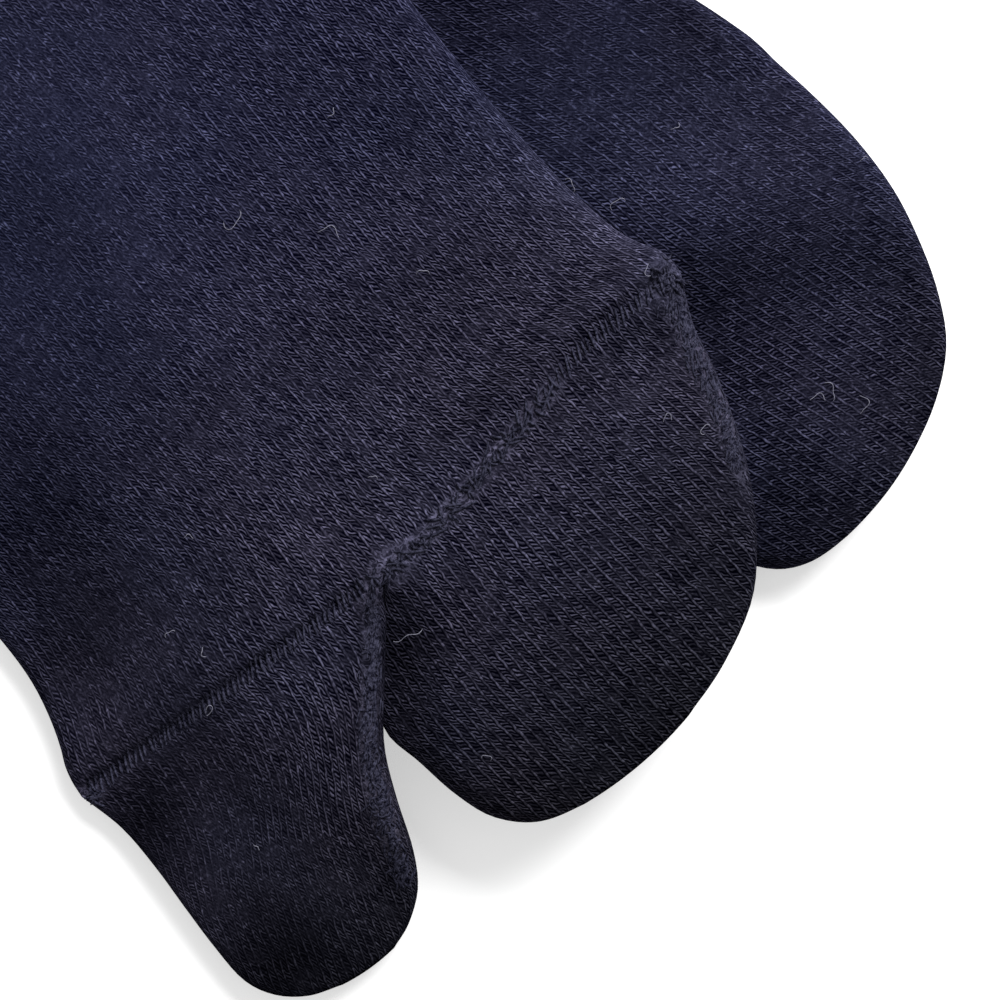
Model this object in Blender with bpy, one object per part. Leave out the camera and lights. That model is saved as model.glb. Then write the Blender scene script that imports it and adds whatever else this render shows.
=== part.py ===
"""A pair of tabi socks, knitted in one navy yarn and laid flat, one on the other, sole to sole.

The left sock lies on top with its instep up, and the right sock lies under it with its sole up, its
toes turned out to the side. Each sock is a tube of cloth for the foot and leg, a ribbed cuff, a heel
pocket folded flat against the sole, a pocket for the big toe, a pocket for the other four toes, and
the linked seam that closes the pockets onto the instep. Lengths are in millimetres until a mesh is
made. In a sock's own flat frame, across runs from the big toe side to the little toe side and along
runs from the toe seam (0) to the cuff, so the toes are at negative values.
"""

import math

import bmesh
import bpy
import numpy as np
from mathutils import Vector

MM = 0.001

# The cloth
WALL = 1.5
SEAM_GAP = 0.4
LAYER_GAP = 0.45
FOOT_THICK = 4.4
POCKET_THICK = 5.4
CUFF_THICK = 5.0
HEEL_THICK = 3.7
TIP_FLATTEN = 0.75
TIP_WALL_ROWS = 0.4

# Lengths along a sock, from its toe seam
HEEL_LINE = 148.0
LEG_END = 262.0

# The linked toe seam
SEAM_RADIUS = 0.9
SEAM_PROUD = 0.35
SEAM_SLOT = SEAM_RADIUS + SEAM_GAP
SEAM_FADE = 16.0
SEAM_POINTS = 16

# How the cloth drapes over what is under it
DRAPE_RADIUS = 34.0
GRID_STEP = 1.0
GRID_LOW = (-75.0, -45.0)
GRID_HIGH = (75.0, 320.0)
SAMPLES = 2

# The foot and leg's sections, closer together where they pass over the heel pockets
SECTIONS = (0, 3, 7, 13, 22, 34, 52, 75, 100, 122, 134, 142, 150, 159, 172, 184, 193, 202, 212, 234, 262)

# How many points a ring has over each flat side, and round each fold
FLAT_POINTS = 7
FOLD_ANGLES = (90.0, 45.0, 0.0, -45.0, -90.0)

# Each kind of piece: its colour and roughness
FINISHES = {
    "plain_knit": ((0.021, 0.021, 0.046, 1.0), 0.90),
    "toe_knit": ((0.017, 0.017, 0.035, 1.0), 0.90),
    "heel_knit": ((0.019, 0.019, 0.041, 1.0), 0.90),
    "rib_knit": ((0.018, 0.018, 0.040, 1.0), 0.92),
    "linking_yarn": ((0.026, 0.026, 0.050, 1.0), 0.85),
}

# Where each sock lies: its seam's middle, the angle its toes are turned out by, the stretch in which
# it bends back to straight, and which of its faces is the instep (+1 up, -1 down)
LAY = {
    "left": {"middle": (-13.0, 6.0), "turn": 0.0, "bend": (35.0, 190.0), "instep": 1},
    "right": {"middle": (13.0, 6.6), "turn": 14.0, "bend": (35.0, 185.0), "instep": -1},
}

# The toe seam's line: across, along
SEAM_LINE = ((-47.0, 0.0), (-28.0, -1.7), (-3.0, -3.4), (9.0, -2.7), (21.0, -0.7), (34.0, 0.9), (47.0, 0.2))

# The foot and leg: along, edge on the big toe side, edge on the little toe side
FOOT_LEG = {
    "left": (
        (0.0, -46.9, 46.4),
        (3.0, -47.2, 46.6),
        (7.0, -45.6, 44.7),
        (13.0, -43.7, 43.5),
        (24.0, -42.8, 42.9),
        (40.0, -43.0, 43.3),
        (60.0, -43.6, 44.4),
        (90.0, -44.0, 44.2),
        (120.0, -43.4, 43.4),
        (148.0, -43.0, 43.0),
        (175.0, -42.4, 42.4),
        (205.0, -41.6, 41.6),
        (235.0, -41.0, 41.0),
        (262.0, -40.4, 40.4),
    ),
    "right": (
        (0.0, -44.5, 47.6),
        (3.0, -44.6, 48.1),
        (7.0, -43.4, 48.2),
        (13.0, -42.2, 48.0),
        (24.0, -41.8, 46.8),
        (40.0, -42.0, 45.4),
        (60.0, -42.6, 44.6),
        (90.0, -43.4, 44.0),
        (120.0, -43.4, 43.4),
        (148.0, -43.0, 43.0),
        (175.0, -42.4, 42.4),
        (205.0, -41.6, 41.6),
        (235.0, -41.0, 41.0),
        (262.0, -40.4, 40.4),
    ),
}

# The cuff: length from the leg's end, half width
CUFF = ((0.0, 39.6), (14.0, 38.4), (36.0, 38.0))

# The heel pocket, folded flat: length from the heel line, half width
HEEL = ((0.0, 41.0), (11.0, 36.8), (22.0, 30.0), (32.0, 23.8), (38.5, 17.5), (41.0, 11.0))

# The toe pockets, a row for each section from the seam to the tip: the edge on the big toe side
# (across, along), the edge on the little toe side (across, along), and how far the middle bows out
POCKETS = {
    "left_big_toe": (
        ((-46.9, 0.0), (-3.1, -3.4), 0.0),
        ((-46.7, -6.0), (-6.4, -8.0), 0.0),
        ((-46.7, -12.0), (-11.1, -13.2), 0.0),
        ((-47.2, -18.0), (-15.9, -18.6), 0.0),
        ((-47.6, -23.5), (-19.0, -24.2), 0.0),
        ((-47.6, -29.0), (-21.8, -30.4), 0.2),
        ((-46.0, -32.8), (-24.6, -34.4), 1.0),
        ((-43.0, -35.6), (-28.2, -36.9), 1.0),
        ((-39.0, -37.3), (-31.5, -38.0), 0.3),
    ),
    "left_four_toes": (
        ((-2.6, -3.4), (46.4, 0.2), 0.0),
        ((-5.6, -7.4), (43.7, -5.4), 0.0),
        ((-10.3, -12.6), (42.0, -11.2), 0.0),
        ((-14.6, -17.6), (39.6, -17.6), 0.0),
        ((-14.3, -23.0), (36.4, -24.0), 0.3),
        ((-13.6, -28.6), (32.2, -29.8), 0.8),
        ((-12.0, -33.6), (27.4, -34.4), 1.8),
        ((-8.4, -37.4), (20.6, -37.6), 1.9),
        ((-3.0, -39.4), (13.2, -39.6), 0.7),
    ),
    "right_big_toe": (
        ((-44.5, 0.0), (-3.1, -3.4), 0.0),
        ((-44.0, -6.0), (-6.6, -8.0), 0.0),
        ((-43.0, -11.5), (-9.6, -13.0), 0.0),
        ((-42.0, -16.5), (-11.4, -18.0), 0.0),
        ((-40.6, -21.5), (-13.0, -22.8), 0.0),
        ((-38.6, -26.2), (-14.8, -27.2), 0.4),
        ((-36.2, -29.4), (-17.2, -30.2), 0.9),
        ((-33.4, -31.4), (-20.2, -32.0), 0.9),
        ((-30.2, -32.6), (-23.4, -32.9), 0.3),
    ),
    "right_four_toes": (
        ((-2.6, -3.4), (47.6, 0.2), 0.0),
        ((-4.0, -8.0), (46.7, -6.4), 0.0),
        ((-5.0, -13.0), (45.3, -13.4), 0.0),
        ((-5.2, -18.4), (43.0, -20.4), 0.0),
        ((-4.8, -24.6), (39.8, -26.4), 0.3),
        ((-4.0, -30.0), (36.0, -31.8), 0.8),
        ((-2.2, -34.8), (31.4, -36.2), 1.6),
        ((1.0, -37.8), (25.4, -38.8), 1.6),
        ((6.0, -39.6), (18.0, -40.0), 0.5),
    ),
}


def smooth(xs, ys, x):
    """A smooth curve through the points (xs, ys), read at x."""
    xs, ys, x = (np.asarray(v, float) for v in (xs, ys, x))
    slopes = np.gradient(ys, xs)
    i = np.clip(np.searchsorted(xs, x) - 1, 0, len(xs) - 2)
    step = xs[i + 1] - xs[i]
    t = np.clip((x - xs[i]) / step, 0.0, 1.0)
    start, end = ys[i], ys[i + 1]
    return (
        start * (1 + 2 * t) * (1 - t) ** 2
        + slopes[i] * step * t * (1 - t) ** 2
        + end * t**2 * (3 - 2 * t)
        - slopes[i + 1] * step * t**2 * (1 - t)
    )


def seam_line(across):
    points = np.array(SEAM_LINE)
    return smooth(points[:, 0], points[:, 1], across)


def lay_out(sock, across, along):
    """A point of the sock's flat frame, in the pair's frame. The sock bends back to straight."""
    lay = LAY[sock]
    turn = math.radians(lay["turn"])
    start, end = lay["bend"]
    # The angle falls evenly from turn to 0 along the bend, so the centreline is an arc.
    line = np.linspace(0.0, LEG_END + CUFF[-1][0] + SEAM_GAP, 300)
    angles = turn * (1 - np.clip((line - start) / (end - start), 0, 1))
    steps = np.diff(line, prepend=0.0)
    centre_x = lay["middle"][0] + np.cumsum(-np.sin(angles) * steps)
    centre_y = lay["middle"][1] + np.cumsum(np.cos(angles) * steps)
    toes = np.minimum(along, 0.0)
    angle = np.interp(along, line, angles)
    x = np.interp(along, line, centre_x) - np.sin(turn) * toes + np.cos(angle) * across
    y = np.interp(along, line, centre_y) + np.cos(turn) * toes + np.sin(angle) * across
    return x, y


class Ground:
    """The height of all that lies so far, on a square grid, and how cloth drapes over it."""

    def __init__(self):
        self.low = np.array(GRID_LOW)
        counts = ((np.array(GRID_HIGH) - self.low) / GRID_STEP).astype(int) + 1
        self.top = np.zeros(counts)
        self.draped = self.top.copy()

    def add(self, x, y, z):
        i = np.rint((np.ravel(x) - self.low[0]) / GRID_STEP).astype(int)
        j = np.rint((np.ravel(y) - self.low[1]) / GRID_STEP).astype(int)
        np.maximum.at(self.top, (i, j), np.ravel(z) + LAYER_GAP)

    def drape(self):
        """Falls away from each high point along a parabola, then evens out small steps."""
        reach = int(DRAPE_RADIUS)
        result = self.top
        for axis in (0, 1):
            padded = np.pad(result, [(reach, reach) if a == axis else (0, 0) for a in (0, 1)])
            spread = [
                np.take(padded, range(reach + k, reach + k + result.shape[axis]), axis)
                - (k * GRID_STEP) ** 2 / (2 * DRAPE_RADIUS)
                for k in range(-reach, reach + 1)
            ]
            result = np.max(spread, axis=0)
        self.draped = np.maximum(result, 0.0)

    def height(self, x, y):
        u = (np.asarray(x) - self.low[0]) / GRID_STEP
        v = (np.asarray(y) - self.low[1]) / GRID_STEP
        i, j = np.floor(u).astype(int), np.floor(v).astype(int)
        u, v = u - i, v - j
        h = self.draped
        near = h[i, j] * (1 - v) + h[i, j + 1] * v
        far = h[i + 1, j] * (1 - v) + h[i + 1, j + 1] * v
        return near * (1 - u) + far * u


class Tube:
    """A flattened tube of cloth: rows of (edge, edge, bow, thickness) in the sock's flat frame."""

    def __init__(self, sock, part, finish, rows, ground, joins_seam=0, closed_tip=False):
        self.sock, self.name, self.finish, self.ground = sock, f"{sock}_{part}", finish, ground
        self.joins_seam, self.closed_tip = joins_seam, closed_tip
        self.rows = np.array([(*left, *right, bow, thick) for left, right, bow, thick in rows])

    def row(self, v):
        """The section at v rows from the first, between rows too."""
        return [smooth(np.arange(len(self.rows)), column, v) for column in self.rows.T]

    def place(self, v, c, rise, inset=0.0):
        """The point of row v at c across it (-1 to 1), from the lower face (rise -1) to the upper (1)."""
        left_across, left_along, right_across, right_along, bow, thick = self.row(v)
        across = left_across + (right_across - left_across) * (c + 1) / 2
        straight = left_along + (right_along - left_along) * (c + 1) / 2
        along = straight - bow * (1 - c**2)
        if self.joins_seam > 0:
            along = along + seam_line(across) * np.exp(-straight / SEAM_FADE)
        if self.joins_seam < 0:
            along = along + self.seam_wave(c) * np.clip(1 - v / 2, 0, 1)
        if self.joins_seam and v == 0:
            instep = (1 + rise * LAY[self.sock]["instep"]) / 2
            along = along + self.joins_seam * (SEAM_GAP / 2 + (SEAM_SLOT - SEAM_GAP / 2) * instep)
        x, y = lay_out(self.sock, across, along)
        return np.array([x, y, self.ground.height(x, y) + thick / 2 + (thick / 2 - inset) * rise])

    def seam_wave(self, c):
        """How far the seam's line stands off this pocket's first row, a straight one."""
        left_across, left_along, right_across, right_along = self.rows[0][:4]
        straight = left_along + (right_along - left_along) * (c + 1) / 2
        return seam_line(left_across + (right_across - left_across) * (c + 1) / 2) - straight

    def half_width(self, v):
        left_across, left_along, right_across, right_along, _, _ = self.row(v)
        return math.hypot(right_across - left_across, right_along - left_along) / 2

    def ring(self, v, inset=0.0):
        """The points round row v: over the top, round one fold, back underneath, round the other.

        With an inset, they lie that far inside the outer face, and a little more towards a closed tip.
        """
        half, radius = self.half_width(v), self.row(v)[-1] / 2
        taper = inset * v / len(self.rows) if self.closed_tip else 0.0
        middle = 1 - (radius + taper) / half
        flat = np.linspace(-middle, middle, FLAT_POINTS + 2)[1:-1]
        turns = [math.radians(angle) for angle in FOLD_ANGLES]
        fold = [(middle + (radius - inset) * math.cos(turn) / half, math.sin(turn)) for turn in turns]
        loop = [(c, 1.0) for c in flat] + fold
        loop += [(c, -1.0) for c in flat[::-1]] + [(-c, rise) for c, rise in fold[::-1]]
        return [self.place(v, c, rise, inset) for c, rise in loop]

    def settle(self):
        """Adds the upper face to the ground, at points close enough together for its grid."""
        length = abs(self.rows[-1][1] - self.rows[0][1])
        for v in np.linspace(0, len(self.rows) - 1, int(length * SAMPLES) + SAMPLES):
            half, radius = self.half_width(v), self.row(v)[-1] / 2
            c = np.linspace(-1, 1, int(half * 2 * SAMPLES))
            depth = np.clip(1 - (1 - np.abs(c)) * half / radius, 0, 1)
            self.ground.add(*self.place(v, c, np.sqrt(1 - depth**2)))

    def build(self):
        """The wall: its outer face, its inner face and a rim at each open end."""
        rows = list(range(len(self.rows)))
        inner_rows = [*rows[:-2], rows[-2] - TIP_WALL_ROWS] if self.closed_tip else rows
        outer = [self.ring(v) for v in rows]
        inner = [self.ring(v, WALL) for v in inner_rows]
        count = len(outer[0])
        vertices = [point * MM for ring in outer + inner for point in ring]
        inside = len(outer) * count
        faces = tube_faces(0, len(outer), count) + tube_faces(inside, len(inner), count)
        faces += rim_faces(0, inside, count)
        if self.closed_tip:
            faces += tip_faces(inside - count, count) + tip_faces(len(vertices) - count, count)
        else:
            faces += rim_faces(inside - count, len(vertices) - count, count)
        return cloth_object(self.name, vertices, faces, self.finish)


def rim_faces(first, second, count):
    """Joins two rings, given by their first points."""
    steps = [(k, (k + 1) % count) for k in range(count)]
    return [(first + k, first + after, second + after, second + k) for k, after in steps]


def tube_faces(start, rings, count):
    firsts = range(start, start + (rings - 1) * count, count)
    return [face for first in firsts for face in rim_faces(first, first + count, count)]


def tip_faces(start, count):
    """Closes a flattened ring, each point of its upper half joined to the one under it."""
    fold = count - 1 - len(FOLD_ANGLES) // 2
    upper = [start + (fold + k) % count for k in range(count // 2 + 1)]
    lower = [start + (fold - k) % count for k in range(count // 2 + 1)]
    return [tuple(dict.fromkeys(strip)) for strip in zip(upper, upper[1:], lower[1:], lower)]


def material_of(finish):
    material = bpy.data.materials.get(finish) or bpy.data.materials.new(finish)
    colour, roughness = FINISHES[finish]
    material.use_nodes = True
    shader = material.node_tree.nodes["Principled BSDF"]
    shader.inputs["Base Color"].default_value = colour
    shader.inputs["Roughness"].default_value = roughness
    shader.inputs["Metallic"].default_value = 0.0
    material.diffuse_color = colour
    return material


def cloth_object(name, vertices, faces, finish):
    """A closed shell of cloth, its faces turned outwards."""
    mesh = bpy.data.meshes.new(name)
    mesh.from_pydata(vertices, [], faces)
    shape = bmesh.new()
    shape.from_mesh(mesh)
    bmesh.ops.recalc_face_normals(shape, faces=shape.faces)
    shape.to_mesh(mesh)
    shape.free()
    mesh.materials.append(material_of(finish))
    mesh.shade_smooth()
    return bpy.data.objects.new(name, mesh)


def seam_cord(foot):
    """The linked toe seam, a cord along the slot between the foot and the toe pockets."""
    name, instep = f"{foot.sock}_toe_seam", LAY[foot.sock]["instep"]
    half, thick = foot.half_width(0), foot.row(0)[-1]
    reach = 1 - thick / 2 / half
    curve = bpy.data.curves.new(name, "CURVE")
    curve.dimensions = "3D"
    curve.bevel_depth = SEAM_RADIUS * MM
    curve.bevel_resolution = 1
    curve.use_fill_caps = True
    spline = curve.splines.new("POLY")
    spline.points.add(SEAM_POINTS - 1)
    for point, c in zip(spline.points, np.linspace(-reach, reach, SEAM_POINTS)):
        left, right = foot.rows[0][0], foot.rows[0][2]
        across = left + (right - left) * (c + 1) / 2
        x, y = lay_out(foot.sock, across, seam_line(across))
        proud = thick - SEAM_RADIUS + SEAM_PROUD if instep > 0 else SEAM_RADIUS
        point.co = (x * MM, y * MM, (foot.ground.height(x, y) + proud) * MM, 1.0)
    curve.materials.append(material_of("linking_yarn"))
    return bpy.data.objects.new(name, curve)


def straight_rows(table, start, thick):
    """Rows square across the sock, from a table of (length from start, half width)."""
    return [((-half, start + length), (half, start + length), 0.0, thick) for length, half in table]


def foot_leg(sock, ground):
    along, low, high = np.array(FOOT_LEG[sock]).T
    edges = [(a, smooth(along, low, a), smooth(along, high, a)) for a in SECTIONS]
    rows = [((low, a), (high, a), 0.0, FOOT_THICK) for a, low, high in edges]
    return Tube(sock, "foot_leg", "plain_knit", rows, ground, joins_seam=1)


def cuff(sock, ground):
    rows = straight_rows(CUFF, LEG_END + SEAM_GAP, CUFF_THICK)
    return Tube(sock, "cuff", "rib_knit", rows, ground)


def heel(sock, ground):
    rows = straight_rows(HEEL, HEEL_LINE, HEEL_THICK)
    return Tube(sock, "heel", "heel_knit", rows, ground, closed_tip=True)


def toe_pocket(sock, part, ground):
    """A toe pocket. It has the foot's thickness at the seam, then swells, and thins at its tip."""
    table = POCKETS[f"{sock}_{part}"]
    full = [POCKET_THICK] * (len(table) - 3)
    swell = [FOOT_THICK, (FOOT_THICK + POCKET_THICK) / 2, *full, POCKET_THICK * TIP_FLATTEN]
    rows = [(*row, thick) for row, thick in zip(table, swell)]
    return Tube(sock, part, "toe_knit", rows, ground, joins_seam=-1, closed_tip=True)


def flat_sock(sock, ground):
    """All of a sock but its heel pocket."""
    return [foot_leg(sock, ground), cuff(sock, ground)] + [
        toe_pocket(sock, part, ground) for part in ("big_toe", "four_toes")
    ]


def build_pair():
    """The right sock, then the two heel pockets, then the left sock, each over what lies under it."""
    ground = Ground()
    layers = [flat_sock("right", ground), [heel("right", ground)], [heel("left", ground)]]
    objects = []
    for layer in [*layers, flat_sock("left", ground)]:
        objects += [tube.build() for tube in layer]
        objects += [seam_cord(tube) for tube in layer if tube.joins_seam > 0]
        for tube in layer:
            tube.settle()
        ground.drape()
    return objects


def centre_on_origin(objects):
    """Moves all of it so that the middle of its box is over the origin. The floor is at z = 0."""
    bpy.context.view_layer.update()
    corners = np.array([obj.matrix_world @ Vector(corner) for obj in objects for corner in obj.bound_box])
    middle = (corners.min(axis=0) + corners.max(axis=0)) / 2
    for obj in objects:
        obj.location = (-middle[0], -middle[1], 0.0)


def main():
    for obj in list(bpy.data.objects):
        bpy.data.objects.remove(obj, do_unlink=True)
    pair = bpy.data.collections.new("tabi_socks")
    bpy.context.scene.collection.children.link(pair)
    objects = build_pair()
    for obj in objects:
        pair.objects.link(obj)
    centre_on_origin(objects)


main()
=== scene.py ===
"""Two navy tabi socks laid flat, one on the other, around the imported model.

The left sock is on top with its instep up, the right one under it with its sole up. Lengths are in
millimetres until a mesh is made. In a sock's own flat frame, across runs from the big toe side to the
little toe side, and along from the toe seam (0) to the cuff, so the toes are at negative values.
"""

import math

import bmesh
import bpy
import numpy as np
from mathutils import Matrix, Vector


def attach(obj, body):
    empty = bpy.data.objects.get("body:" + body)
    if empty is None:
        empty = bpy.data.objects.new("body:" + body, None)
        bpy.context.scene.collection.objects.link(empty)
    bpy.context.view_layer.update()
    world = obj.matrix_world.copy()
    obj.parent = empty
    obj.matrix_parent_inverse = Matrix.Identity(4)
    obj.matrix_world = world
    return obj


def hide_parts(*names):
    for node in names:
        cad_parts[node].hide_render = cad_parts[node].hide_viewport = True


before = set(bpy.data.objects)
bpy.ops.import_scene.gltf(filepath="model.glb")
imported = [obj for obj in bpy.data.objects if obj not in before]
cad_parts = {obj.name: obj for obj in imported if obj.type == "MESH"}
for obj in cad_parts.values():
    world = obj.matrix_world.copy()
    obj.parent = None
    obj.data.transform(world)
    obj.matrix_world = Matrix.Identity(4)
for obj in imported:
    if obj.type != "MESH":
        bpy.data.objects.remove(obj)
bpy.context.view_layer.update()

MM = 0.001
SEED = 7

# ---------------------------------------------------------------- sizes

WALL = 1.5
LAYER_GAP = 0.45
FOOT_THICK = 4.4
POCKET_THICK = 5.4
CUFF_THICK = 5.0
HEEL_THICK = 3.7
HEEL_LINE = 148.0
LEG_END = 262.0
SEAM_FADE = 16.0
DRAPE_RADIUS = 34.0

# The knit: stitches round the tube, and how long a course is
WALES = 200
COURSE = 0.65

GRID_STEP = 0.5
GRID_LOW = (-75.0, -48.0)
GRID_HIGH = (75.0, 320.0)
GRID_BLUR = 2.5

# Where each sock lies: its seam's middle, the angle its toes are turned out by, the stretch in which
# it bends back to straight, and which of its faces is the instep (+1 up, -1 down)
LAY = {
    "left": {"middle": (-13.0, 6.0), "turn": 0.0, "bend": (35.0, 190.0), "instep": 1},
    "right": {"middle": (13.0, 6.6), "turn": 14.0, "bend": (35.0, 185.0), "instep": -1},
}

# Between which places along each sock the colour shifts in hue and turns from navy to nearly black at the
# toes' ends, as painted shade
TOE_HUE_AND_SHADE = {"left": (50.0, -38.0), "right": (48.0, -44.0)}

# The toe seam's line: across, along
SEAM_LINE = ((-47.0, 0.0), (-28.0, -1.7), (-3.0, -3.4), (9.0, -2.7), (21.0, -0.7), (34.0, 0.9), (47.0, 0.2))
CROTCH = -2.85

# The leg of both socks, and each one's foot and leg: along, edge on the big toe side, edge on the
# little toe side
LEG = (
    (120.0, -43.4, 43.4),
    (148.0, -43.0, 43.0),
    (175.0, -42.4, 42.4),
    (205.0, -41.6, 41.6),
    (235.0, -41.0, 41.0),
    (262.0, -40.4, 40.4),
)
FOOT_LEG = {
    "left": (
        (0.0, -47.9, 46.6),
        (3.0, -47.4, 46.7),
        (7.0, -45.6, 44.7),
        (13.0, -43.7, 43.5),
        (24.0, -42.8, 42.9),
        (40.0, -43.0, 43.3),
        (60.0, -43.6, 44.4),
        (90.0, -44.0, 44.2),
        *LEG,
    ),
    "right": (
        (0.0, -44.5, 47.6),
        (3.0, -44.6, 48.1),
        (7.0, -43.4, 48.2),
        (13.0, -42.2, 48.0),
        (24.0, -41.8, 46.8),
        (40.0, -42.0, 45.4),
        (60.0, -42.6, 44.6),
        (90.0, -43.4, 44.0),
        *LEG,
    ),
}

# The cuff: length from the leg's end, half width
CUFF = ((0.0, 40.2), (3.0, 39.2), (14.0, 38.4), (36.0, 38.0))

# The heel pocket, folded flat: length from the heel line, half width
HEEL = ((0.0, 41.0), (11.0, 36.8), (22.0, 30.0), (32.0, 23.8), (38.5, 17.5), (41.0, 11.0))

# The toe pockets, a row for each section from the seam to the tip: the edge on the big toe side
# (across, along), the edge on the little toe side (across, along), and how far the middle bows out
POCKETS = {
    "left_big_toe": (
        ((-47.9, 0.0), (CROTCH, -3.4), 0.0),
        ((-46.7, -6.0), (-6.4, -8.0), 0.0),
        ((-46.7, -12.0), (-11.1, -13.2), 0.0),
        ((-47.2, -18.0), (-15.9, -18.6), 0.0),
        ((-47.6, -23.5), (-19.0, -24.2), 0.0),
        ((-47.6, -29.0), (-21.8, -30.4), 0.2),
        ((-46.0, -32.8), (-24.6, -34.4), 1.0),
        ((-43.0, -35.6), (-28.2, -36.9), 1.0),
        ((-39.0, -37.3), (-31.5, -38.0), 0.3),
    ),
    "left_four_toes": (
        ((CROTCH, -3.4), (46.6, 0.2), 0.0),
        ((-6.6, -7.4), (43.7, -5.4), 0.0),
        ((-11.9, -12.6), (42.0, -11.2), 0.0),
        ((-14.9, -17.6), (39.6, -17.6), 0.0),
        ((-14.3, -23.0), (36.4, -24.0), 0.3),
        ((-13.6, -28.6), (32.2, -29.8), 0.8),
        ((-12.0, -33.6), (27.4, -34.4), 1.8),
        ((-8.4, -37.4), (20.6, -37.6), 1.9),
        ((-3.0, -39.4), (13.2, -39.6), 0.7),
    ),
    "right_big_toe": (
        ((-44.5, 0.0), (CROTCH, -3.4), 0.0),
        ((-44.0, -6.0), (-6.6, -8.0), 0.0),
        ((-43.0, -11.5), (-9.6, -13.0), 0.0),
        ((-42.0, -16.5), (-11.4, -18.0), 0.0),
        ((-40.6, -21.5), (-13.0, -22.8), 0.0),
        ((-38.6, -26.2), (-14.8, -27.2), 0.4),
        ((-36.2, -29.4), (-17.2, -30.2), 0.9),
        ((-33.4, -31.4), (-20.2, -32.0), 0.9),
        ((-30.2, -32.6), (-23.4, -32.9), 0.3),
    ),
    "right_four_toes": (
        ((CROTCH, -3.4), (47.6, 0.2), 0.0),
        ((-4.0, -8.0), (46.7, -6.4), 0.0),
        ((-5.0, -13.0), (45.3, -13.4), 0.0),
        ((-5.2, -18.4), (43.0, -20.4), 0.0),
        ((-4.8, -24.6), (39.8, -26.4), 0.3),
        ((-4.0, -30.0), (36.0, -31.8), 0.8),
        ((-2.2, -34.8), (31.4, -36.2), 1.6),
        ((1.0, -37.8), (25.4, -38.8), 1.6),
        ((6.0, -39.6), (18.0, -40.0), 0.5),
    ),
}

# Soft folds of the upper faces, in the pair's frame: a line, how wide, and how high (below 0, a dent)
FORMS = {
    "left": (
        (((24.0, 24.4), (3.8, 30.4), (-14.9, 33.5)), 4.6, 0.9),
        (((14.6, 11.8), (3.4, 12.4), (-9.4, 14.0)), 3.4, 0.5),
        (((-12.0, 12.0), (-24.0, 15.0)), 6.5, 0.6),
        (((-20.0, 45.0), (-29.0, 40.0), (-35.0, 34.0)), 7.5, 0.9),
        (((-11.0, 64.0), (-16.0, 42.0), (-22.0, 26.0)), 9.0, 0.8),
        (((-46.0, 54.0), (-48.0, 37.0), (-51.0, 22.0)), 11.0, -1.4),
        (((32.0, 58.0), (30.5, 30.0), (32.0, 14.0), (34.5, 5.0)), 4.2, -0.6),
        (((-60.0, 4.0), (-60.0, -12.0), (-58.0, -24.0)), 9.0, -2.0),
        (((-47.0, -2.0), (-49.0, -9.0)), 4.0, -0.5),
        (((-42.0, -30.0), (-50.0, -33.0)), 6.0, -1.2),
        (((-20.5, -3.0), (-22.5, -5.0), (-25.5, -8.5), (-28.5, -15.0)), 4.6, -2.2),
        (((0.0, -6.0), (14.0, -3.0)), 7.5, 0.9),
        (((-6.0, -34.0), (10.0, -34.5), (20.0, -28.0)), 7.0, -1.0),
        (((-14.0, 60.0), (-22.0, 90.0), (-30.0, 104.0)), 7.0, 0.7),
        (((8.0, 96.0), (-2.0, 116.0), (-30.0, 128.0)), 8.0, 0.9),
        (((-40.0, 165.0), (-18.0, 176.0), (6.0, 174.0)), 6.0, 0.8),
        (((-44.0, 214.0), (-20.0, 207.0)), 7.0, 0.6),
        (((-2.0, 236.0), (18.0, 228.0)), 6.0, 0.6),
    ),
    "right": (
        (((32.0, 22.0), (46.0, 10.0), (54.0, 2.0)), 6.5, 0.5),
        (((33.0, 4.5), (43.3, -4.6), (50.5, -10.8)), 5.0, -1.2),
        (((28.0, -20.0), (36.0, -28.0)), 6.5, 0.8),
        (((27.5, 4.0), (28.5, -8.0), (26.0, -19.0)), 4.5, -1.0),
        (((6.0, 58.0), (16.0, 40.0)), 6.0, -0.8),
        (((38.0, 52.0), (30.0, 70.0), (26.0, 92.0)), 6.0, 0.6),
        (((20.0, 214.0), (34.0, 226.0)), 6.0, 0.6),
    ),
}

# Where the nap hides the stitches, in the pair's frame: place, radius, strength
NAP = (
    ((-9.4, 74.4), 26.0, 0.6),
    ((-30.0, 50.0), 16.0, 0.45),
    ((43.4, 31.7), 15.0, 0.6),
    ((50.0, 8.0), 13.0, 0.45),
    ((-45.0, 15.4), 12.0, 0.6),
    ((-52.7, -6.2), 11.0, 0.6),
    ((-50.8, -22.1), 10.0, 0.5),
    ((-20.0, 30.0), 6.0, 0.2),
    ((38.4, -17.6), 6.0, 0.3),
)
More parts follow.
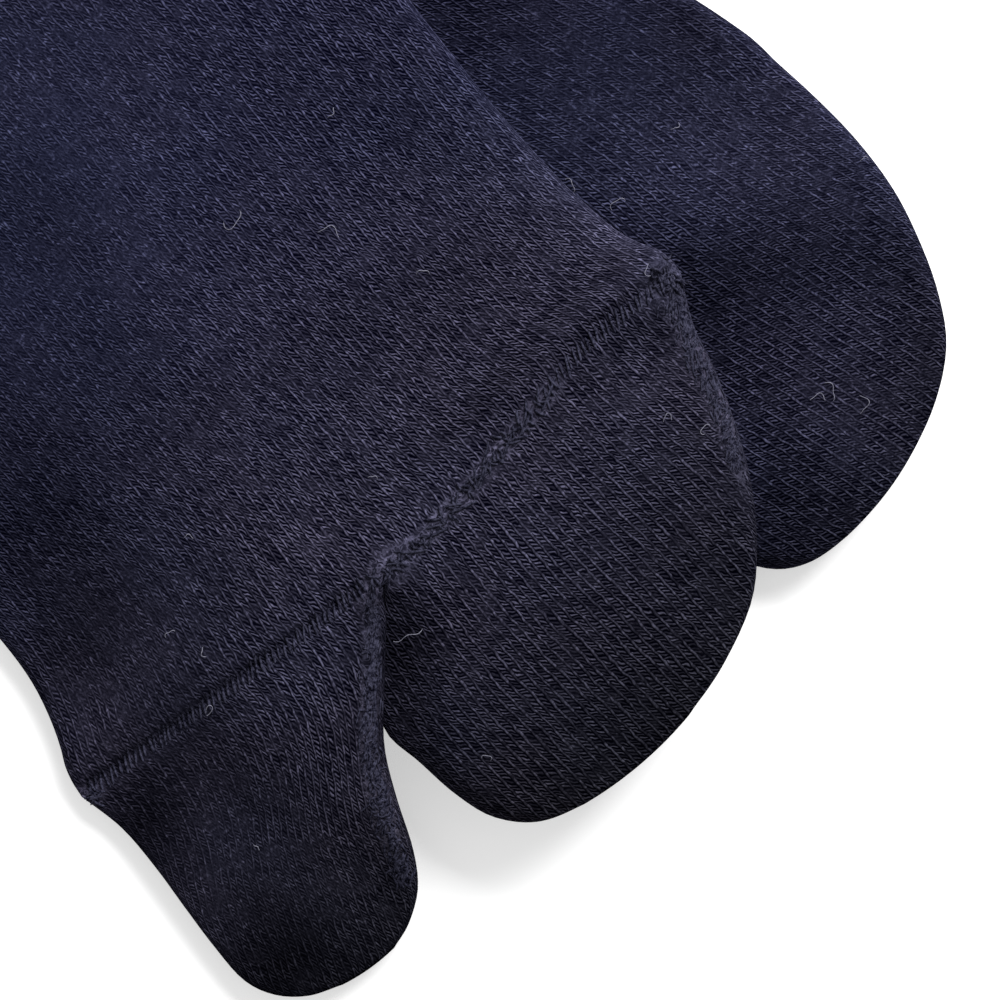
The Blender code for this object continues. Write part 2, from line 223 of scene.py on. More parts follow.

# Painted light and painted shade: soft spots where the cloth's colour is made lighter where light falls and
# darker where shade falls, in the pair's frame: place, radius, how much
PAINTED_LIGHT_AND_SHADE = {
    "left": (
        ((12.0, 64.0), 14.0, 0.1),
        ((-38.0, 36.0), 13.0, -0.28),
        ((-53.5, 20.0), 6.0, -0.4),
        ((-43.5, 13.5), 4.5, 0.25),
        ((-58.5, -1.0), 7.0, -0.7),
        ((-50.5, 0.5), 5.5, -0.3),
        ((-40.5, -14.5), 7.5, 0.48),
        ((-40.5, -24.0), 5.0, 0.45),
        ((-58.5, -24.5), 6.0, -0.35),
        ((-53.5, -24.5), 7.5, -0.38),
        ((-20.5, -4.5), 6.0, -0.68),
        ((-28.0, -11.5), 5.5, -0.42),
        ((-13.5, 3.5), 4.6, 0.3),
        ((-19.5, 10.0), 5.5, 0.2),
        ((-3.5, -9.0), 6.0, 0.15),
        ((-0.5, 4.5), 5.0, 0.12),
        ((10.5, -28.5), 6.0, 0.2),
        ((23.0, 21.0), 7.0, 0.2),
        ((30.0, 13.0), 6.0, 0.42),
        ((29.5, 2.0), 4.5, -0.35),
        ((25.0, 5.5), 4.5, -0.35),
        ((16.0, 6.0), 4.6, -0.28),
        ((7.5, 8.5), 4.5, -0.15),
    ),
    "right": (
        ((55.5, 28.0), 6.0, -0.25),
        ((44.0, 34.0), 26.0, -0.14),
        ((35.5, 47.0), 8.0, -0.3),
        ((40.0, 11.5), 8.0, 0.32),
        ((34.0, 3.0), 8.0, -0.55),
        ((41.0, -5.0), 6.5, -0.25),
        ((38.0, -19.0), 8.0, 0.15),
        ((43.0, -21.0), 7.0, 0.15),
        ((36.0, -28.0), 6.0, 0.25),
        ((24.0, -22.0), 5.0, -0.35),
    ),
}

# Stray fibres: place in the pair's frame, the way they start off (degrees), length, how far they curl
FIBRES = (
    ((-2.8, 46.0), -120, 4.6, 3.6),
    ((4.2, 37.6), 20, 3.8, -2.4),
    ((10.9, 25.2), 60, 2.2, 2.6),
    ((30.2, 21.8), 10, 2.6, 2.2),
    ((32.6, 17.0), 80, 3.0, -2.8),
    ((31.6, 9.4), 150, 2.6, 3.0),
    ((21.0, -6.2), 30, 2.4, 3.8),
    ((23.9, -9.7), 70, 2.6, 4.2),
    ((35.2, -15.2), 40, 2.8, -2.6),
    ((38.6, -20.2), -30, 3.4, 2.6),
    ((37.2, -17.0), 10, 3.2, 2.0),
    ((59.4, 1.8), 100, 1.4, 2.0),
    ((-42.9, 3.6), -60, 3.2, 5.2),
    ((-38.9, 13.3), 110, 1.8, 2.0),
    ((-38.0, 8.6), 130, 1.8, -2.2),
    ((-48.6, -12.7), 70, 1.2, 1.0),
    ((-20.8, -22.1), 20, 2.0, 3.4),
    ((-20.4, -4.0), -36, 4.4, 0.6),
    ((14.0, 47.0), -30, 1.8, 1.6),
    ((-30.0, 20.0), 60, 1.6, 2.4),
    ((-10.0, 12.0), 15, 1.5, -2.0),
    ((44.0, 20.0), -70, 1.8, 2.2),
)

# How each pocket's knit runs: how far its wales lean towards the big toe side (degrees), and how wide
# its wales and how long its courses are at its tip, against the foot's
POCKET_KNIT = {
    "left_big_toe": {"lean": 20.0, "wale": 0.92, "course": 0.86},
    "left_four_toes": {"lean": -3.0, "wale": 1.08, "course": 0.88},
    "right_big_toe": {"lean": 14.0, "wale": 0.95, "course": 0.86},
    "right_four_toes": {"lean": -2.0, "wale": 1.04, "course": 0.84},
}

# Rows of its table over which a pocket swells, its crotch fold opens and its tip rounds off, and the
# length over which its knit changes
SWELL_ROWS = 2.2
CROTCH_ROWS = 1.0
TIP_ROWS = 2.6
KNIT_CHANGE = 22.0

# How far the upper big toe lies over the pocket beside it
TOE_LIFT = 1.2

# The cuff's ribs, and its gap to the leg
RIB_PITCH = 3.6
RIB_HEIGHT = 0.45
CUFF_GAP = 0.05

# The length of a row of the foot's table
FOOT_ROW = 2.0

# Rows of faces: along the foot, and by rows of the table on a pocket and a heel. A pocket's inner face
# ends at INNER_TIP
FOOT_PLACES = np.concatenate([np.arange(0, 6, 0.5), np.arange(6, 104, 1.4), np.linspace(104, 262, 50)])
POCKET_PLACES = np.concatenate([np.arange(0, 1.0, 0.1), np.arange(1.0, 6.7, 0.24), np.linspace(6.7, 8, 12)])
INNER_TIP = 7.2
HEEL_PLACES = np.linspace(0, 5, 34)
CUFF_ROWS = 24

# Columns of faces over each flat side, and round each fold
BIG_TOE_COLUMNS = 24
FOUR_TOE_COLUMNS = 27
HEEL_COLUMNS = 40
CUFF_COLUMNS = 160
FOLD_COLUMNS = 10

# Points nearer than this are one
MERGE = 2e-3

# The toe seam's linking stitches: from where to where across the foot, and how far apart. Then the knots
# at its ends: place, how far the stitches scatter, and how many there are
LINKED = (-46.4, 45.6)
STITCH_PITCH = 0.74
KNOTS = (((44.9, 0.4), 0.78, 26), ((-46.6, -0.7), 0.48, 10))

# The yarns' radii
LINKING_RADIUS = 0.16
KNOT_RADIUS = 0.15
GORE_RADIUS = 0.12
FIBRE_RADIUS = 0.042

# The tangled stitches where the pockets' sides are widened: how far in from the fold they lie, how far
# they scatter, between which rows, and how many there are
GORES = {
    "left_big_toe": (2.0, 0.7, (0.3, 5.6), 420),
    "left_four_toes": (1.3, 0.7, (0.1, 3.6), 330),
}

# How many rows of a pocket's table, and how far in from its fold, they can be placed
EDGE_ROWS = 7.0
EDGE_GAP = 6.0

YARN_ROUGHNESS = 0.9

# The window's light: its height, distance across the floor and width (metres), and power (watts)
WINDOW_HEIGHT = 0.74
WINDOW_DISTANCE = 1.22
WINDOW_SIZE = 0.90
WINDOW_POWER = 57.0

# The even light from all sides, and what the floor reflects and gives off
ROOM_LIGHT = 0.50
FLOOR_GREY = (0.62, 0.62, 0.62, 1.0)
FLOOR_GLOW = 0.5

# The floor's width, and how far it is under the socks (metres)
FLOOR_SIZE = 6.0
FLOOR_DEPTH = 0.0002

# The camera, which looks straight down: what it shows is VIEW_WIDTH wide at VIEW_LEVEL over the floor
VIEW_CENTRE = (0.0, 0.0)
VIEW_RIGHT = (0.7547, -0.6561)
VIEW_WIDTH = 119.05
VIEW_LEVEL = 3.0
LENS = 70.0
SENSOR = 24.0


def smooth(xs, ys, x):
    """A smooth curve through the points (xs, ys), read at x."""
    xs, ys, x = (np.asarray(v, float) for v in (xs, ys, x))
    slopes = np.gradient(ys, xs)
    i = np.clip(np.searchsorted(xs, x) - 1, 0, len(xs) - 2)
    step = xs[i + 1] - xs[i]
    t = np.clip((x - xs[i]) / step, 0.0, 1.0)
    start, end = ys[i], ys[i + 1]
    return (
        start * (1 + 2 * t) * (1 - t) ** 2
        + slopes[i] * step * t * (1 - t) ** 2
        + end * t**2 * (3 - 2 * t)
        - slopes[i + 1] * step * t**2 * (1 - t)
    )


def ease(x, start, end):
    """0 before start, 1 after end, and smooth between."""
    t = np.clip((np.asarray(x, float) - start) / (end - start), 0.0, 1.0)
    return t * t * (3 - 2 * t)


def blend(start, end, c):
    """From start where c is -1 to end where it is 1."""
    return start + (end - start) * (c + 1) / 2


def read_grid(grid, u, v):
    """What a grid holds at the places (u, v), in its steps. Between its points it changes evenly."""
    i, j = np.floor(u).astype(int), np.floor(v).astype(int)
    u, v = u - i, v - j
    if grid.ndim > 2:
        u, v = u[:, None], v[:, None]
    near = grid[i, j] * (1 - v) + grid[i, j + 1] * v
    far = grid[i + 1, j] * (1 - v) + grid[i + 1, j + 1] * v
    return near * (1 - u) + far * u


def new_object(name, data):
    obj = bpy.data.objects.new(name, data)
    bpy.context.scene.collection.objects.link(obj)
    return obj


def seam_line(across):
    points = np.array(SEAM_LINE)
    return smooth(points[:, 0], points[:, 1], across)


def lay_out(sock, across, along):
    """A point of the sock's flat frame, in the pair's frame. The sock bends back to straight."""
    lay = LAY[sock]
    turn = math.radians(lay["turn"])
    start, end = lay["bend"]
    line = np.linspace(0.0, LEG_END + CUFF[-1][0] + LAYER_GAP, 300)
    angles = turn * (1 - np.clip((line - start) / (end - start), 0, 1))
    steps = np.diff(line, prepend=0.0)
    centre_x = lay["middle"][0] + np.cumsum(-np.sin(angles) * steps)
    centre_y = lay["middle"][1] + np.cumsum(np.cos(angles) * steps)
    toes = np.minimum(along, 0.0)
    angle = np.interp(along, line, angles)
    x = np.interp(along, line, centre_x) - np.sin(turn) * toes + np.cos(angle) * across
    y = np.interp(along, line, centre_y) + np.cos(turn) * toes + np.sin(angle) * across
    return x, y


def line_gap(line, x, y):
    """How far the points are from a line of several straight parts."""
    gaps = []
    for start, end in zip(np.array(line[:-1]), np.array(line[1:])):
        run = end - start
        t = np.clip(((x - start[0]) * run[0] + (y - start[1]) * run[1]) / (run @ run), 0, 1)
        gaps.append(np.hypot(x - start[0] - t * run[0], y - start[1] - t * run[1]))
    return np.min(gaps, axis=0)


def bell(gap, width):
    return np.exp(-((gap / width) ** 2))


def spots(table, x, y):
    """The sum of round soft spots: place, radius, strength."""
    return sum(strength * bell(np.hypot(x - at[0], y - at[1]), radius) for at, radius, strength in table)


def forms_height(sock, x, y):
    return sum(height * bell(line_gap(line, x, y), width) for line, width, height in FORMS[sock])


def seam_height(across, past):
    """The toe seam on the instep, past it towards the cuff: a groove and a ridge, then a shallow valley."""
    middle = ease(across, -9, -1) * (1 - ease(across, 24, 30))
    left, right = 1 - ease(across, -9, -1), ease(across, 24, 30)
    height = left * (0.25 * bell(past + 1.3, 0.9) - 0.8 * bell(past - 0.6, 0.55))
    height = height + middle * (0.7 * bell(past + 1.2, 2.2) - 0.2 * bell(past - 1.8, 0.9))
    height = height + right * (0.2 * bell(past + 1.6, 1.0) - 1.3 * bell(past - 0.9, 1.0))
    height = height - 0.95 * ease(across, 0, 20) * bell(past - 3.8, 2.2)
    height = height + 0.35 * (1 - ease(across, -34, -20)) * bell(past - 4.5, 2.4)
    return height + 0.6 * bell(np.hypot(across - 45.0, past - 0.6), 1.7)


# ---------------------------------------------------------------- how the cloth lies


class Ground:
    """The height of all that lies so far, on a square grid, and how cloth drapes over it."""

    def __init__(self):
        self.low = np.array(GRID_LOW)
        counts = ((np.array(GRID_HIGH) - self.low) / GRID_STEP).astype(int) + 1
        self.top = np.zeros(counts)
        self.draped = self.top.copy()

    def add(self, x, y, z):
        i = np.rint((np.ravel(x) - self.low[0]) / GRID_STEP).astype(int)
        j = np.rint((np.ravel(y) - self.low[1]) / GRID_STEP).astype(int)
        np.maximum.at(self.top, (i, j), np.ravel(z) + LAYER_GAP)

    def drape(self):
        """Falls away from each high point along a parabola, then evens out what bends sharply."""
        reach = int(math.sqrt(2 * DRAPE_RADIUS * max(self.top.max(), 1.0)) / GRID_STEP) + 1
        fall = [(k * GRID_STEP) ** 2 / (2 * DRAPE_RADIUS) for k in range(-reach, reach + 1)]
        result = self.top
        for axis in (0, 1):
            slices = self.slices(result, axis, reach)
            result = np.max([s - f for s, f in zip(slices, fall)], axis=0)
        result = np.maximum(result, 0.0)
        for axis in (0, 1, 0, 1):
            result = np.mean(self.slices(result, axis, int(GRID_BLUR / GRID_STEP)), axis=0)
        self.draped = result

    @staticmethod
    def slices(grid, axis, reach):
        """The grid slid along an axis by every step up to reach, either way."""
        edges = [(reach, reach) if a == axis else (0, 0) for a in (0, 1)]
        padded = np.pad(grid, edges, mode="edge")
        length = grid.shape[axis]
        return [np.take(padded, range(k, k + length), axis) for k in range(2 * reach + 1)]

    def height(self, x, y):
        return read_grid(self.draped, (x - self.low[0]) / GRID_STEP, (y - self.low[1]) / GRID_STEP)


class Tube:
    """A flattened tube of cloth, from a table of its two edges and how far its middle bows out."""

    def __init__(self, sock, edges, ground, thick, joins_seam=0, closed_tip=False, crotch=""):
        self.sock, self.ground, self.joins_seam = sock, ground, joins_seam
        self.thick, self.closed_tip, self.crotch = thick, closed_tip, crotch
        self.rows = np.array([(*left, *right, bow) for left, right, bow in edges])
        self.last = len(self.rows) - 1

    def edges(self, v):
        """Row v's edges and bow, between the table's rows too."""
        return [smooth(np.arange(self.last + 1), column, v) for column in self.rows.T]

    def half_width(self, v):
        left_across, _, right_across, _, _ = self.edges(v)
        return (right_across - left_across) / 2

    def level(self, v):
        """Half of the full thickness: the height of the folds' middle."""
        start, full = self.thick
        return (start + (full - start) * ease(v, 0, SWELL_ROWS)) / 2

    def roundness(self, v):
        """How much of that thickness is left, as a closed tip rounds off."""
        if not self.closed_tip:
            return 1.0
        q = np.clip((v - self.last + TIP_ROWS) / TIP_ROWS, 0, 1)
        return math.sqrt(1 - q * q)

    def flat_place(self, v, c):
        """Across and along, of the point of row v at c across it (-1 to 1)."""
        left_across, left_along, right_across, right_along, bow = self.edges(v)
        across = blend(left_across, right_across, c)
        straight = blend(left_along, right_along, c)
        along = straight - bow * (1 - c**2)
        if self.joins_seam > 0:
            along = along + seam_line(across) * np.exp(-straight / SEAM_FADE)
        if self.joins_seam < 0:
            left_across, left_along, right_across, right_along, _ = self.rows[0]
            wave = seam_line(blend(left_across, right_across, c)) - blend(left_along, right_along, c)
            along = along + wave * np.clip(1 - v / 2, 0, 1)
        return across, along

    def relief(self, x, y, across, along):
        """How far the upper face stands out of the smooth form, near the left sock's toe seam too."""
        height = forms_height(self.sock, x, y)
        if self.sock == "left":
            height = height + seam_height(across, along - seam_line(across))
        return height

    def lift(self, c, along):
        """How far the tube is lifted off what lies under it."""
        return 0.0 * along

    def marks(self, x, y, across, along, edge, rise):
        """How tangled the stitches are, how much nap hides them, how much of it is toe, and its painted light
        and shade.
        """
        nap = spots(NAP, x, y)
        shade = self.shade(x, y, across, along)
        return np.array([self.tangle(across, along, edge, rise), nap, self.toe(along) + 0.0 * x, 1 + shade]).T

    def tangle(self, across, along, edge, rise):
        return 0.0 * across

    def shade(self, x, y, across, along):
        """How much painted light or painted shade the cloth's colour carries here."""
        return spots(PAINTED_LIGHT_AND_SHADE[self.sock], x, y)

    def toe(self, along):
        """0 up the foot and 1 at the toes' ends. Along it the hue shifts and the toes' painted shade deepens.
        """
        start, end = TOE_HUE_AND_SHADE[self.sock]
        return np.clip((start - along) / (start - end), 0, 1)

    def place(self, v, c, rise, inside=False):
        """Points in the pair's frame, from the lower face (rise -1) to the upper (1)."""
        level = self.level(v)
        half_thick = level * self.roundness(v) * (1 - WALL / level if inside else 1.0)
        across, along = self.flat_place(v, c)
        if inside and self.joins_seam:
            along = along + WALL * np.exp(-np.abs(along) / SEAM_FADE)
        x, y = lay_out(self.sock, across, along)
        upper = np.clip(rise, 0, 1) * self.relief(x, y, across, along)
        z = self.ground.height(x, y) + level + half_thick * rise + upper + self.lift(c, along)
        return np.array([x, y, z]).T

    def marks_at(self, v, c, rise):
        across, along = self.flat_place(v, c)
        x, y = lay_out(self.sock, across, along)
        edge = np.array([1 + c, 1 - c]) * self.half_width(v)
        return self.marks(x, y, across, along, edge, rise * LAY[self.sock]["instep"])

    def settle(self):
        """Adds the upper face to the ground, at points close enough together for its grid."""
        length = abs(self.rows[-1][1] - self.rows[0][1])
        for v in np.linspace(0, self.last, int(length / GRID_STEP * 1.5)):
            half, radius = self.half_width(v), self.level(v)
            c = np.linspace(-1, 1, int(half * 3 / GRID_STEP))
            depth = np.clip(1 - (1 - np.abs(c)) * half / radius, 0, 1)
            self.ground.add(*self.place(v, c, np.sqrt(1 - depth**2)).T)

    def ring(self, v, flats, inside=False):
        """Where the points round row v lie: c, rise, the flat side's c, and how far past it they are.

        They run from the middle of the left fold over the top, round the right fold, back underneath
        and round the left fold's lower half. flats gives the columns, from 0 to 1.
        """
        half, level = self.half_width(v), self.level(v)
        depth = level * self.roundness(v)
        opening = ease(v, 0, CROTCH_ROWS)
        left, right = (depth * (opening if self.crotch == side else 1.0) for side in ("left", "right"))
        taper = WALL * v / self.last if inside and self.closed_tip else 0.0
        low, high = -1 + (left + taper) / half, 1 - (right + taper) / half
        over = low + (high - low) * flats
        bend = 1 - WALL / level if inside else 1.0
        quarter = np.linspace(0, math.pi / 2, FOLD_COLUMNS // 2 + 1)
        sides = [
            (low, -left, quarter[:-1]),
            (over, 0.0, np.full(len(over), math.pi / 2)),
            (high, right, np.concatenate([quarter[-2:0:-1], -quarter[:-1]])),
            (over[::-1], 0.0, np.full(len(over), -math.pi / 2)),
            (low, -left, -quarter[-2:0:-1]),
        ]
        turns = np.concatenate([turn for _, _, turn in sides])
        flat_c = np.concatenate([c + 0.0 * turn for c, _, turn in sides])
        out = np.concatenate([reach + 0.0 * turn for _, reach, turn in sides])
        c = flat_c + out * bend * np.cos(turns) / half
        spill = np.sign(out) * level * (math.pi / 2 - np.abs(turns))
        return c, np.sin(turns), flat_c, spill

    def knit_place(self, v, flat_c, spill):
        """Which wale and which course the points lie on, as on the upper face."""
        across, _ = self.flat_place(v, flat_c)
        left_across, left_along, right_across, _, _ = self.edges(v)
        return foot_wale(across + spill, left_across, right_across), left_along / COURSE + 0.0 * across


def seam_tangle(across, past):
    """How tangled the stitches are near the toe seam."""
    middle = ease(across, -6, -2) * (1 - ease(across, 25, 29))
    near = (0.3 + 0.7 * middle) * bell(past + 0.3, 1.0 + 0.3 * middle)
    ends = bell(np.hypot(across - 45.0, past), 3.2) + bell(np.hypot(across + 47.0, past + 0.6), 1.6)
    return near + ends + 0.8 * bell(np.hypot(across + 2.0, past), 2.6)


def foot_wale(across, left, right, thick=FOOT_THICK):
    """The wale at a place across a tube whose folds reach from left to right, from 0 at the left fold."""
    fold = math.pi * thick / 4
    round_tube = 2 * (right - left - thick) + 4 * fold
    return (across - left - thick / 2 + fold) * WALES / round_tube


class Pocket(Tube):
    """A toe pocket. Its wales lean, and its stitches change size, towards the tip."""

    def __init__(self, sock, part, ground):
        crotch = "right" if part == "big_toe" else "left"
        name = f"{sock}_{part}"
        super().__init__(sock, POCKETS[name], ground, (FOOT_THICK, POCKET_THICK), -1, True, crotch)
        self.knit, self.name = POCKET_KNIT[name], name
        self.foot = FOOT_LEG[sock][0]

    def lift(self, c, along):
        if self.name != "left_big_toe":
            return 0.0 * along
        return TOE_LIFT * ease(c, -0.9, 0.6) * ease(-along, 3.5, 11) * (1 - ease(-along, 16, 27))

    def tangle(self, across, along, edge, rise):
        past = along - seam_line(across)
        on_top = ease(rise, -0.4, 0.2)
        if self.crotch == "right":
            gore = bell(edge[1] - 2.2, 1.5) * (1 - ease(-past, 24, 30))
        else:
            gore = bell(edge[1] - 1.3, 1.6) * (1 - ease(-past, 18, 30))
        return np.clip(on_top * (gore + seam_tangle(across, past)), 0, 1)

    def knit_place(self, v, flat_c, spill):
        across, along = self.flat_place(v, flat_c)
        beyond = seam_line(across) - along
        grown = ease(beyond, 0, KNIT_CHANGE)
        middle = (self.rows[0][0] + self.rows[0][2]) / 2
        lean = math.tan(math.radians(self.knit["lean"]))
        wale = 1 + (self.knit["wale"] - 1) * grown
        course = COURSE * (1 + (self.knit["course"] - 1) * grown)
        back = middle + (across + spill - middle + lean * beyond * grown) / wale
        row = beyond * math.cos(math.atan(lean)) - (across + spill - middle) * lean * grown * 0.5
        return foot_wale(back, self.foot[1], self.foot[2]), -row / course


# ---------------------------------------------------------------- meshes


class Cloth:
    """A mesh in the making: rings of points, each with its place in the knit, joined by faces."""

    def __init__(self):
        self.points, self.faces, self.knit, self.marks = [], [], [], []

    def add_tube(self, tube, rows, flats, inside=False):
        """A tube's outer or inner face. Returns its first and last rings, and how many points each has."""
        count, rings = 0, []
        for v in rows:
            c, rise, flat_c, spill = tube.ring(v, flats, inside)
            wale, course = tube.knit_place(v, flat_c, spill)
            points = tube.place(v, c, rise, inside)
            count = len(points)
            start = len(self.points)
            self.points += list(points)
            self.marks += list(tube.marks_at(v, c, rise))
            rings.append((start, np.array([wale, course]).T, np.array([WALES - wale, course]).T))
        for here, there in zip(rings, rings[1:]):
            self.join(here, there, count, inside)
        if tube.closed_tip and inside:
            self.close(rings[-1], count, inside)
        return rings[0], rings[-1], count

    def join(self, here, there, count, inside):
        for k in range(count):
            after = (k + 1) % count
            knit = 1 if k < count // 2 else 2
            corners = [(here, k), (here, after), (there, after), (there, k)]
            self.face([ring[0] + i for ring, i in corners], [ring[knit][i] for ring, i in corners], inside)

    def close(self, ring, count, inside):
        """Joins the upper half of a flat ring to its lower half."""
        start, upper, _ = ring
        for k in range(count // 2):
            corners = list(dict.fromkeys([k, k + 1, count - k - 1, (count - k) % count]))
            knit = [upper[k], upper[k + 1], upper[k + 1], upper[k]]
            self.face([start + i for i in corners], knit[: len(corners)], inside)

    def rim(self, outer, inner, count):
        """Closes the wall between an outer and an inner ring. Its courses run on from the outer's."""
        for k in range(count):
            after = (k + 1) % count
            knit = outer[1 if k < count // 2 else 2]
            turned = (0.0, WALL / COURSE)
            corners = [outer[0] + k, outer[0] + after, inner[0] + after, inner[0] + k]
            self.face(corners, [knit[k], knit[after], knit[after] + turned, knit[k] + turned], False)

    def face(self, corners, knit, inside):
        if inside:
            corners, knit = corners[::-1], knit[::-1]
        self.faces.append(corners)
        self.knit.append(knit)

    def build(self, name):
        """The mesh, in metres and in the row's frame, with its doubles merged and faces outwards."""
        shape = bmesh.new()
        layer = shape.loops.layers.uv.new("knit")
        marks = shape.verts.layers.float_vector.new("marks")
        # Each point's painted light and painted shade, a factor on its colour
        shade = shape.verts.layers.float.new("shade")
        points = [shape.verts.new(tuple(point)) for point in self.points]
        for vertex, mark in zip(points, self.marks):
            vertex[marks] = tuple(mark[:3])
            vertex[shade] = mark[3]
        for corners, knit in zip(self.faces, self.knit):
            face = shape.faces.new([points[i] for i in corners])
            face.smooth = True
            for loop, place in zip(face.loops, knit):
                loop[layer].uv = tuple(place)
        bmesh.ops.remove_doubles(shape, verts=shape.verts, dist=MERGE)
        flat = [face for face in shape.faces if face.calc_area() < 1e-9]
        bmesh.ops.delete(shape, geom=flat, context="FACES_ONLY")
        bmesh.ops.recalc_face_normals(shape, faces=shape.faces)
        bmesh.ops.transform(shape, matrix=TO_ROW, verts=shape.verts)
        mesh = bpy.data.meshes.new(name)
        shape.to_mesh(mesh)
        shape.free()
        return new_object(name, mesh)


def straight_edges(table, start):
    """Rows square across the sock, from a table of (length from start, half width)."""
    return [((-half, start + length), (half, start + length), 0.0) for length, half in table]


def foot_rows(sock):
    """The foot and leg's rows, evenly spaced."""
    along, low, high = np.array(FOOT_LEG[sock]).T
    places = np.arange(0.0, LEG_END + FOOT_ROW / 2, FOOT_ROW)
    edges = zip(smooth(along, low, places), smooth(along, high, places), places)
    return [((left, a), (right, a), 0.0) for left, right, a in edges]


class Sock:
    """One sock: its foot and leg, its two pockets, its cuff and its heel flap."""

    def __init__(self, name, ground):
        self.name = name
        self.foot = Foot(name, ground)
        self.big_toe = Pocket(name, "big_toe", ground)
        self.four_toes = Pocket(name, "four_toes", ground)
        self.cuff = Cuff(name, ground)
        self.heel = Heel(name, ground)
        self.ground = ground

    def main_tubes(self):
        return [self.foot, self.big_toe, self.four_toes, self.cuff]

    def body(self):
        """The foot, leg and toe pockets, which are one cloth."""
        cloth = Cloth()
        left, _, right, _, _ = self.foot.edges(0)
        inset = FOOT_THICK / 2
        split = (CROTCH - left - inset) / (right - left - 2 * inset)
        big = np.linspace(0, 1, BIG_TOE_COLUMNS + 1)
        four = np.linspace(0, 1, FOUR_TOE_COLUMNS + 1)
        foot_columns = np.concatenate([big * split, split + four[1:] * (1 - split)])
        ends = []
        for inside in (False, True):
            _, end, count = cloth.add_tube(self.foot, FOOT_PLACES / FOOT_ROW, foot_columns, inside)
            places = POCKET_PLACES if not inside else POCKET_PLACES[POCKET_PLACES < INNER_TIP]
            for pocket, columns in ((self.big_toe, big), (self.four_toes, four)):
                cloth.add_tube(pocket, places, columns, inside)
            ends.append(end)
        cloth.rim(*ends, count)
        return cloth.build(f"{self.name}_sock")

    def piece(self, tube, places, columns, name):
        cloth = Cloth()
        starts, ends = [], []
        for inside in (False, True):
            start, end, count = cloth.add_tube(tube, places, np.linspace(0, 1, columns + 1), inside)
            starts.append(start)
            ends.append(end)
        cloth.rim(*starts, count)
        if not tube.closed_tip:
            cloth.rim(*ends, count)
        return cloth.build(f"{self.name}_{name}")


class Foot(Tube):
    def __init__(self, sock, ground):
        super().__init__(sock, foot_rows(sock), ground, (FOOT_THICK, FOOT_THICK), joins_seam=1)

    def relief(self, x, y, across, along):
        return super().relief(x, y, across, along) * (1 - ease(along, LEG_END - 12, LEG_END))

    def tangle(self, across, along, edge, rise):
        past = along - seam_line(across)
        return np.clip(ease(rise, -0.4, 0.2) * seam_tangle(across, past), 0, 1)


class Cuff(Tube):
    """The ribbed band. Its ribs stand out of the upper face, and their furrows are darkened with painted
    shade.
    """

    def __init__(self, sock, ground):
        super().__init__(sock, straight_edges(CUFF, LEG_END + CUFF_GAP), ground, (FOOT_THICK, CUFF_THICK))

    def ribs(self, across, along):
        """-1 in the furrows and 1 on the ribs, from a little way past the leg."""
        return np.cos(across * 2 * math.pi / RIB_PITCH) * ease(along, LEG_END + 0.5, LEG_END + 3)

    def relief(self, x, y, across, along):
        return RIB_HEIGHT * self.ribs(across, along)

    # Painted shade in the furrows between the ribs
    def shade(self, x, y, across, along):
        return -0.45 * ease(-self.ribs(across, along), 0.1, 0.8)


class Heel(Tube):
    """The heel pocket, folded flat against the leg."""

    def __init__(self, sock, ground):
        super().__init__(
            sock, straight_edges(HEEL, HEEL_LINE), ground, (HEEL_THICK, HEEL_THICK), closed_tip=True
        )

    def relief(self, x, y, across, along):
        return 0.0 * x


def build_socks():
    """The right sock, then the two heel pockets, then the left sock, each over what lies under it."""
    ground = Ground()
    right, left = Sock("right", ground), Sock("left", ground)
    pieces = {}
    for sock, tubes in ((right, right.main_tubes()), (right, [right.heel]), (left, [left.heel])):
        pieces.update(build_layer(sock, tubes))
        for tube in tubes:
            tube.settle()
        ground.drape()
    pieces.update(build_layer(left, left.main_tubes()))
    return pieces, left


def build_layer(sock, tubes):
    if tubes == [sock.heel]:
        obj = sock.piece(sock.heel, HEEL_PLACES, HEEL_COLUMNS, "heel_flap")
        return {obj.name: obj}
    cuff_rows = np.linspace(0, sock.cuff.last, CUFF_ROWS + 1)
    made = [sock.body(), sock.piece(sock.cuff, cuff_rows, CUFF_COLUMNS, "ribbed_cuff")]
    return {obj.name: obj for obj in made}


# ---------------------------------------------------------------- yarns and loose fibres


class Yarns:
    """Short lengths of yarn, joined in one mesh."""

    def __init__(self, radius, sides):
        self.vertices, self.faces = [], []
        self.radius, self.sides = radius, sides

    def add(self, path, radius=None):
        """A yarn along the path, in the pair's frame. Its ends narrow."""
        path = np.array(path, float)
        along = np.gradient(path, axis=0)
        along /= np.linalg.norm(along, axis=1)[:, None]
        side = np.cross(along, (0.0, 0.0, 1.0))
        side /= np.maximum(np.linalg.norm(side, axis=1), 1e-6)[:, None]
        over = np.cross(side, along)
        turns = np.linspace(0, 2 * math.pi, self.sides, endpoint=False)
        start = len(self.vertices)
        for k, (centre, out, up) in enumerate(zip(path, side, over)):
            size = (radius or self.radius) * (0.45 if k in (0, len(path) - 1) else 1.0)
            self.vertices += [centre + size * (math.cos(t) * out + math.sin(t) * up) for t in turns]
        for ring in range(len(path) - 1):
            first = start + ring * self.sides
            for k in range(self.sides):
                after = (k + 1) % self.sides
                there = first + self.sides
                self.faces.append((first + k, first + after, there + after, there + k))
        self.faces.append(tuple(range(start, start + self.sides)))
        self.faces.append(tuple(range(len(self.vertices) - self.sides, len(self.vertices)))[::-1])

    def build(self, name, material):
        mesh = bpy.data.meshes.new(name)
        mesh.from_pydata([tuple(TO_ROW @ Vector(point)) for point in self.vertices], [], self.faces)
        mesh.polygons.foreach_set("use_smooth", [True] * len(mesh.polygons))
        mesh.materials.append(material)
        return new_object(name, mesh)


